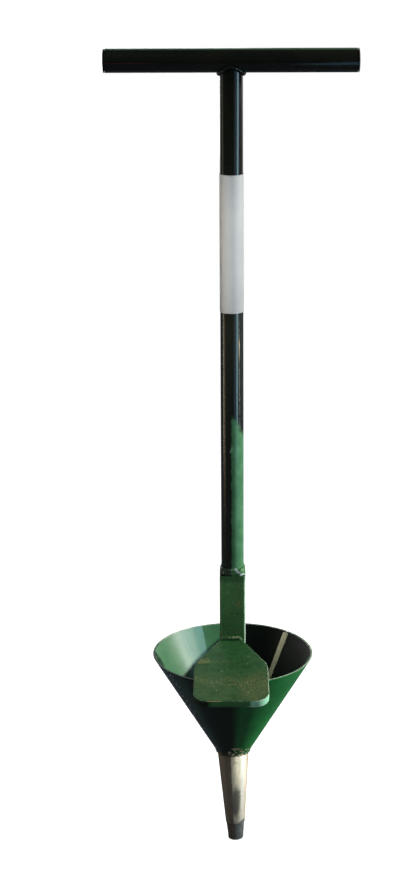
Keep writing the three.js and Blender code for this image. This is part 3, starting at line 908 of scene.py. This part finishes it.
def root_wear(finish, where):
    """Dulled, with a worn pale line where the bead meets the socket tube."""
    x, _, z = finish.axes(where)
    lumps = finish.cloud(where, 2.4, 4, 0.65)
    yield 0.7, rgb(36, 70, 38)
    yield lumps.rises(0.5, 0.62) * 0.5, rgb(24, 46, 26)
    worn = (lumps + x.rises(-4, 10) * 0.06).rises(0.5, 0.58) * z.rises(223.6, 224.6)
    yield worn * 0.7, rgb(170, 180, 136)


piece("tread_weld_top", "tread_root_weld", root_weld(), green_enamel("root_enamel", root_wear),
      60)
piece("tread_weld_under", "tread_under_weld", under_weld(), green_enamel("weld_enamel", weld_wear),
      60)

# Collecting cone, rolled from sheet, with a slit where the sheet's edges meet
NECK_HEIGHT, LIP_HEIGHT, SLANT = 100, 203.103, 120
NECK_INNER, NECK_OUTER, LIP_INNER, LIP_OUTER = 16.25, 18.0, 77.65, 79.396
NECK_MIDDLE = (NECK_INNER + NECK_OUTER) / 2
HALF_ANGLE = math.radians(30.774)
LEVELS = 24
SLIT_TURN, SLIT_HALF = math.radians(3), 0.8
SEAM_AZIMUTH = math.radians(45)
SEAM_RADIAL = outwards(SEAM_AZIMUTH)
SEAM_ACROSS = UP.cross(SEAM_RADIAL)
NOTCH_HALF, NOTCH_FROM, NOTCH_ABOVE = 36.2, -60, 195
LIP_WELD_SPAN, LIP_WELD_RADIUS = 52, 2.1
CHIPPED_METAL = rgb(255, 236, 184)


def funnel():
    """The cone's sheet, whose lip is cut down where the tread lies on it."""
    rise = LIP_HEIGHT - NECK_HEIGHT
    outer_wall, inner_wall = (
        [
            (neck + (lip - neck) * level / LEVELS, NECK_HEIGHT + rise * level / LEVELS)
            for level in range(LEVELS + 1)
        ]
        for neck, lip in [(NECK_OUTER, LIP_OUTER), (NECK_INNER, LIP_INNER)]
    )
    shape = turned(outer_wall + inner_wall[::-1], 237, TURN - 2 * SLIT_TURN)
    bmesh.ops.rotate(
        shape, cent=(0, 0, 0), matrix=Matrix.Rotation(SEAM_AZIMUTH + SLIT_TURN, 3, "Z"),
        verts=shape.verts,
    )
    for vert in shape.verts:
        radius = math.hypot(vert.co.x, vert.co.y)
        off = math.atan2(vert.co.dot(SEAM_ACROSS), vert.co.dot(SEAM_RADIAL))
        if abs(off) < SLIT_TURN * 1.01:
            reach = math.sqrt(radius ** 2 - SLIT_HALF ** 2)
            aside = math.copysign(SLIT_HALF, off)
            vert.co = SEAM_RADIAL * reach + SEAM_ACROSS * aside + UP * vert.co.z
    ease(shape, 0.3, 2, 60)
    for vert in shape.verts:
        under_tread = vert.co.y < NOTCH_FROM and abs(vert.co.x - TREAD_SHIFT) < NOTCH_HALF
        if under_tread and vert.co.z > NOTCH_ABOVE:
            vert.co.z = min(vert.co.z, tread_underside(-vert.co.y) - FIT)
    return shape


def neck_chips(finish, where):
    """Where the enamel has chipped off round the neck, most of all in front."""
    x, y, z = finish.axes(where)
    turn = x.turn_from(y * -1)
    ragged = finish.cloud(where, 3, 4, 0.6) - 0.5
    cluster = finish.oval(turn + ragged * 60, z + ragged * 12, (6, 99), (27, 6.5))
    fringe = turn.between(24, 70, 8) * (z - turn * 0.12).between(96, 102, 1.5)
    streak = finish.oval(turn, z + ragged * 8, (10, 108), (15, 1.2))
    near = finish.flecks(where, 2.6, 0.85, 1.6) * cluster
    near = near | finish.flecks(where, 3, 0.7, 1.2) * fringe
    return ragged, near.rises(0.12, 0.38) | streak * (ragged + 0.5).rises(0.35, 0.45)


def funnel_outside(finish, where, cloud, brushed, left_turn):
    """Bright green, with painted shade, bluish dark on the left and near-black in front, and pale
    flecks of painted glint on the left.
    """
    # Painted glints as pale flecks on the left; painted shade, bluish on the left and near-black in
    # front
    cold = finish.flecks(where, 3.2, 0.4, 1.5) * left_turn.between(14, 38, 9)
    return finish.layers(
        rgb(32, 122, 57), (cloud.rises(0.35, 0.65), rgb(42, 136, 65)),
        (brushed.rises(0.5, 0.8) * 0.3, rgb(58, 140, 80)),
        (left_turn.between(-8, 52, 12) * 0.88, rgb(25, 37, 45)),
        (left_turn.between(50, 94, 7) * 0.93, rgb(11, 15, 12)),
        (cold, rgb(236, 246, 255)),
    )


def funnel_inside(finish, z, cloud, grain, brushed, turn, left_turn, sheen_band):
    """Dull green with a painted pale sheen and a painted blue-grey reflection, a painted shadow of
    the rim low down, and painted shade over the back right.
    """
    # Painted shadow of the rim: dark low on the inner wall, below a line that rises towards the
    # back
    beyond = (left_turn * -1 - 26).maths("MAXIMUM", 0)
    rim_shadow = (168 + beyond * beyond * 0.0077 - z + (cloud - 0.5) * 5).rises(-0.8, 1.2)
    # Painted shade: the back right of the inner wall near-black
    black = left_turn.falls(-90, -84) | left_turn.rises(170, 176)
    right_half_shade = finish.blend(brushed.rises(0.4, 0.8), rgb(11, 14, 11), rgb(18, 23, 18))
    # Painted sheen: a pale band on the back left of the inner wall; painted reflection: a blue-grey
    # band beside it
    return finish.layers(
        rgb(52, 108, 68), (cloud.rises(0.35, 0.65), rgb(64, 120, 78)),
        (grain.rises(0.4, 0.75) * 0.35, rgb(104, 148, 112)),
        (sheen_band * (0.3 + brushed * 0.5), rgb(160, 196, 184)),
        (turn.between(114, 121.5, 0.5) * (0.5 + brushed * 0.3), rgb(130, 180, 172)),
        (rim_shadow * 0.75, rgb(20, 25, 26)), (black, right_half_shade),
    )


def funnel_enamel():
    """The cone's enamel, chipped round the neck and rubbed bare along the lip, with painted shade
    darkening the lip on the left and front.

    turn is 0 to the right and 90 at the back; left_turn is 0 to the left and 90 in front.
    """
    finish = new_finish("funnel_enamel")
    where = finish.place()
    x, y, z = finish.axes(where)
    turn, left_turn = y.turn_from(x), (y * -1).turn_from(x * -1)
    middle_of_sheet = NECK_MIDDLE + (z - NECK_HEIGHT) * math.tan(HALF_ANGLE)
    outside = ((x * x + y * y).maths("SQRT") - middle_of_sheet).rises(-0.25, 0.25)
    cloud = finish.cloud(where, 16, 4, 0.6)
    grain = finish.cloud(where, 0.8, 3, 0.6)
    brushed = finish.cloud(finish.joined(turn * 0.9, z * 0.05, 0.0), 1.4, 3, 0.6)
    # Painted sheen band on the back left of the inner wall, which the coat's real gloss also
    # brightens
    sheen_band = turn.between(121.5, 150, 1) * turn.falls(125, 150)
    outer = funnel_outside(finish, where, cloud, brushed, left_turn)
    inner = funnel_inside(finish, z, cloud, grain, brushed, turn, left_turn, sheen_band)

    chipped, near_neck = neck_chips(finish, where)
    flakes = finish.cloud(where, 2.4, 4, 0.7).rises(0.73, 0.76) * 0.6
    # The lip: dark with painted shade on the left and front, rubbed bare and pale in places
    # elsewhere
    rim = z.rises(LIP_HEIGHT - 0.7, LIP_HEIGHT - 0.3)
    rim_shade = left_turn.between(-20, 92, 8) * 0.85
    bare = rim * (0.2 + finish.cloud(where, 3.2, 4, 0.7).rises(0.4, 0.6) * 0.6) * (1 - rim_shade)
    colour = finish.layers(
        inner, (outside, outer), (near_neck * outside, CHIPPED_METAL),
        (flakes * outside, rgb(150, 160, 112)), (rim * rim_shade, rgb(24, 30, 30)),
        (bare, rgb(186, 196, 180)),
    )
    rough = 0.3 + grain * 0.1 + (1 - outside) * 0.15 + near_neck * 0.3 + rim * 0.2
    return finish.surface(
        colour, rough, grain * 0.6 + chipped * near_neck * -2, 0.03, 0.25,
        **{"Coat Weight": sheen_band * (1 - outside) * 0.3, "Coat Roughness": 0.36},
    )


def lip_weld(side):
    """A bead under the tread, outside the lip where side is 1 and inside it where side is -1."""
    lip_radius = LIP_OUTER if side > 0 else LIP_INNER
    half_span = math.asin(LIP_WELD_SPAN / 2 / lip_radius)

    def place(share):
        outward = outwards(-math.pi / 2 + half_span * (2 * share - 1))
        under = tread_underside(-outward.y * lip_radius) - BEAD_OFF
        shrink = (LIP_HEIGHT - under) * math.tan(HALF_ANGLE)
        return outward * (lip_radius - shrink + side * BEAD_OFF) + UP * under, outward, UP

    def size(share, angle):
        taper = end_taper(share, LIP_WELD_SPAN, 2)
        return LIP_WELD_RADIUS * taper * ripple(share, angle, 15, 0.07, 1.2, 2.6 + side)

    shape = bead(place, size, 180, sweep=math.pi)
    for vert in shape.verts:
        vert.co.z = min(vert.co.z, tread_underside(-vert.co.y) - 0.05)
    return shape


FUNNEL_ENAMEL = funnel_enamel()
piece("funnel", "collecting_cone", funnel(), FUNNEL_ENAMEL, 40)
piece("lip_weld_out", "lip_weld_outer", lip_weld(1), FUNNEL_ENAMEL, 60)
piece("lip_weld_in", "lip_weld_inner", lip_weld(-1), FUNNEL_ENAMEL, 60)

# Seam weld, a web through the slit with a crown on each face of the sheet
SEAM_UP = SEAM_RADIAL * math.sin(HALF_ANGLE) + UP * math.cos(HALF_ANGLE)
SEAM_OUT = SEAM_ACROSS.cross(SEAM_UP)
SEAM_FOOT = SEAM_RADIAL * NECK_MIDDLE + UP * NECK_HEIGHT
CROWN_FOOT_WIDTH, CROWN_TOP_WIDTH, CROWN_START, CROWN_END = 3.4, 7, 7, SLANT - 2
WEB_HALF, WEB_START, WEB_END = 0.5, 1, SLANT - 0.4
CUTS = 56


def seam_strip(low, high, web):
    """A bar along the seam between two distances from the middle of the sheet."""
    strip = bmesh.new()
    bmesh.ops.create_cube(strip, size=1)
    long_edges = [
        edge for edge in strip.edges if abs(edge.verts[0].co.y - edge.verts[1].co.y) > 0.5
    ]
    bmesh.ops.subdivide_edges(strip, edges=long_edges, cuts=CUTS, use_grid_fill=True)
    start, end = (WEB_START, WEB_END) if web else (CROWN_START, CROWN_END)
    for vert in strip.verts:
        share = vert.co.y + 0.5
        crown_half = (CROWN_FOOT_WIDTH + (CROWN_TOP_WIDTH - CROWN_FOOT_WIDTH) * share) / 2
        width = WEB_HALF if web else crown_half
        wander = 0 if web else 0.25 * noise.noise(Vector((share * 22, vert.co.x * 3, 4.2)))
        level = low + (high - low) * (vert.co.z + 0.5)
        vert.co = (
            SEAM_FOOT + SEAM_ACROSS * (2 * vert.co.x * width + wander)
            + SEAM_UP * (start + (end - start) * share) + SEAM_OUT * level
        )
    tidy(strip)
    if not web:
        ease(strip, 0.35, 3, 50)
    return strip


def seam_weld():
    whole = bmesh.new()
    for low, high, web in [(-1.65, -0.7, False), (-0.75, 0.75, True), (0.7, 1.65, False)]:
        strip = seam_strip(low, high, web)
        held = bpy.data.meshes.new("strip")
        strip.to_mesh(held)
        strip.free()
        whole.from_mesh(held)
        bpy.data.meshes.remove(held)
    return whole


def bare_seam():
    """Dull, very pale bare metal, paler in streaks along the weld, with dark spots."""
    finish = new_finish("bare_seam")
    where = finish.place()
    run, side = finish.along(where, SEAM_UP), finish.along(where, SEAM_ACROSS)
    streaks = finish.cloud(finish.joined(side, run * 0.08, 0.0), 0.9, 3)
    spots = finish.cloud(where, 1.6, 4, 0.65)
    colour = finish.layers(
        rgb(248, 228, 190), (streaks.rises(0.35, 0.7), rgb(255, 244, 214)),
        (spots.rises(0.55, 0.7) * 0.5, rgb(110, 98, 70)),
    )
    return finish.surface(colour, 0.34 + spots * 0.3, streaks + spots, 0.05, 0.4, Metallic=0.15)


piece("seam_weld", "cone_seam_weld", seam_weld(), bare_seam(), 50)

# Probe and tip, hung from the cone's neck with a slight lean
LEAN = math.radians(1.5)
PROBE_LENGTH, PROBE_WALL, PROBE_INTO_NECK = 100, 2, 4
PROBE_NECK_RADIUS, PROBE_SHOULDER_RADIUS = 15.95, 9.6
TIP_LENGTH, TIP_SPIGOT = 18, 9
TIP_EDGE_RADIUS, TIP_SHOULDER_RADIUS, TIP_SPIGOT_RADIUS, TIP_BORE_RADIUS = 7.5, 9.15, 7.3, 6
COUNTERSINK, COUNTERSINK_DEPTH = 0.7, 1.4
HANG_HEIGHT = PROBE_LENGTH * math.cos(LEAN) + TIP_EDGE_RADIUS * math.sin(LEAN)
TAPER = (PROBE_NECK_RADIUS - PROBE_SHOULDER_RADIUS) / (PROBE_LENGTH - TIP_LENGTH)


def hang(shape):
    """Takes a shape that stands on its tip to its place under the cone."""
    bmesh.ops.translate(shape, vec=(0, 0, -PROBE_LENGTH), verts=shape.verts)
    bmesh.ops.rotate(
        shape, cent=(0, 0, 0), matrix=Matrix.Rotation(-LEAN, 3, "Y"), verts=shape.verts,
    )
    bmesh.ops.translate(shape, vec=(0, 0, HANG_HEIGHT), verts=shape.verts)
    return shape


def probe_radius(height):
    return PROBE_SHOULDER_RADIUS + TAPER * (height - TIP_LENGTH)


def probe():
    low, high = TIP_LENGTH + FIT, PROBE_LENGTH + PROBE_INTO_NECK
    shape = turned([
        (probe_radius(low), low), (probe_radius(high), high),
        (probe_radius(high) - PROBE_WALL, high), (probe_radius(low) - PROBE_WALL, low),
    ], 128)
    ease(shape, 0.2, 2, 60)
    return hang(shape)


def tip():
    spigot_top = TIP_LENGTH + TIP_SPIGOT
    return hang(turned([
        (TIP_EDGE_RADIUS, 0), (TIP_SHOULDER_RADIUS, TIP_LENGTH), (TIP_SPIGOT_RADIUS, TIP_LENGTH),
        (TIP_SPIGOT_RADIUS, spigot_top), (TIP_BORE_RADIUS, spigot_top),
        (TIP_BORE_RADIUS, COUNTERSINK_DEPTH), (TIP_BORE_RADIUS + COUNTERSINK, 0),
    ], 128))


def hung(finish):
    """The place on the probe with its lean taken out, its rise from the tip, and its turn."""
    values = {"Vector": finish.place(), "Location": (0, 0, HANG_HEIGHT), "Rotation": (0, -LEAN, 0)}
    where = finish.node("Mapping", {"vector_type": "TEXTURE"}, values)
    x, y, z = finish.axes(where)
    return where, x, y, z + PROBE_LENGTH, x.turn_from(y * -1)


def probe_steel():
    """Pale steel with a painted highlight on the right, a brown soil stain darkened as painted
    shade on the left and back, and a dark patch.
    """
    finish = new_finish("probe_steel")
    where, x, y, rise, turn = hung(finish)
    drawn = finish.cloud(finish.joined(x, y, rise * 0.07), 0.9, 3, 0.6)
    blotch = finish.cloud(where, 7, 4, 0.6)
    grain = finish.cloud(where, 0.8, 3, 0.6)
    # Painted highlight: a near-white band down the right of the probe
    painted_highlight = (turn + (drawn - 0.5) * 8).between(30, 54, 7)
    # Painted shade: the left and back brown and dark over the soil stain, darkest at the far left
    # and next to the lit side
    edge = (turn + (blotch - 0.5) * 10).falls(-12, -5) | (turn + blotch * 20).rises(130, 160)
    wandering = turn + drawn * 14
    shaded_stain = finish.layers(
        rgb(104, 88, 74), (drawn.rises(0.3, 0.7), rgb(140, 120, 98)),
        (wandering.falls(-70, -50) * 0.75, rgb(46, 42, 42)),
        (wandering.between(-28, 6, 6) * 0.6, rgb(70, 56, 46)),
    )
    warp = (blotch - 0.5) * 26
    patch = finish.oval(turn + warp, rise + warp * 0.5, (9, 45), (24, 17))
    patch = patch | finish.oval(turn, rise, (4, 39), (22, 12))
    high = (rise + turn * 0.12).rises(84, 97) * turn.falls(8, 30) * grain.rises(0.4, 0.58)
    low = (rise - turn.rises(10, 50) * 3).falls(18, 20.5) * turn.rises(-30, -8)
    colour = finish.layers(
        rgb(234, 224, 192), (drawn.rises(0.3, 0.75), rgb(250, 244, 222)),
        (blotch.rises(0.52, 0.7) * 0.4, rgb(168, 152, 116)),
        (painted_highlight * 0.9, rgb(255, 252, 240)),
        ((turn + drawn * 10).between(74, 104, 6) * 0.7, rgb(170, 132, 100)),
        (edge * 0.92, shaded_stain), (patch * 0.93, rgb(102, 101, 93)),
        (high * 0.6, rgb(118, 100, 70)), (low * 0.9, rgb(76, 80, 82)),
        (finish.flecks(where, 3.4, 0.2, 0.7) * 0.8, rgb(206, 178, 110)),
    )
    rough = 0.42 + (edge | patch | low) * 0.1 + grain * 0.1
    return finish.surface(colour, rough, drawn + grain * 0.5, 0.02, 0.5, Metallic=0.28)


def hardened_steel():
    """Dark hardened steel, browner on the left, with its edge ground bright."""
    finish = new_finish("tip_steel")
    where, x, y, rise, turn = hung(finish)
    rings = finish.cloud(finish.joined(x * 0.12, y * 0.12, rise), 0.7, 3)
    blotch = finish.cloud(where, 4, 4, 0.65)
    colour = finish.layers(
        rgb(92, 98, 100), (blotch.rises(0.4, 0.65), rgb(112, 117, 117)),
        (turn.falls(-20, 10) * 0.8, rgb(104, 86, 70)),
        (rings.rises(0.55, 0.75) * 0.35, rgb(128, 128, 122)),
        (rise.falls(0.5, 1.6) * 0.6, rgb(150, 148, 140)),
    )
    return finish.surface(colour, 0.36 + blotch * 0.2, rings + blotch, 0.02, 0.4, Metallic=0.4)


piece("probe", "probe_tube", probe(), probe_steel())
piece("tip", "cutting_tip", tip(), hardened_steel())

# Bead between the cone's neck and the probe
NECK_BEAD_RADIUS, NECK_BEAD_DROP = 1.75, 1.6


def neck_bead():
    """A bead round the probe that is flat against the cone's foot."""
    def place(share):
        outward = outwards(TURN * share)
        return outward * PROBE_NECK_RADIUS + UP * (NECK_HEIGHT - NECK_BEAD_DROP), outward, UP

    def size(share, angle):
        return NECK_BEAD_RADIUS * ripple(share, angle, 25, 0.08, 1.2, 6.3)

    shape = bead(place, size, 300)
    for vert in shape.verts:
        vert.co.z = min(vert.co.z, NECK_HEIGHT - 0.1)
    return shape


def neck_finish():
    """Green enamel chipped to pale metal in front, and rusty on the left."""
    finish = new_finish("neck_enamel")
    where = finish.place()
    x, y, _ = finish.axes(where)
    turn = x.turn_from(y * -1)
    _, bare = neck_chips(finish, where)
    rust = finish.cloud(where, 2.3, 4, 0.6)
    colour = finish.layers(
        rgb(34, 92, 46), (rust.rises(0.4, 0.6), rgb(42, 76, 40)),
        (turn.falls(-20, 2) * 0.85, rgb(44, 38, 28)),
        (turn.falls(-12, 0) * rust.rises(0.46, 0.54) * 0.8, rgb(138, 108, 64)),
        (bare, CHIPPED_METAL),
    )
    return finish.surface(colour, 0.45 + bare * 0.15, rust - bare, 0.06, 0.25)


piece("neck_bead", "neck_weld", neck_bead(), neck_finish(), 60)
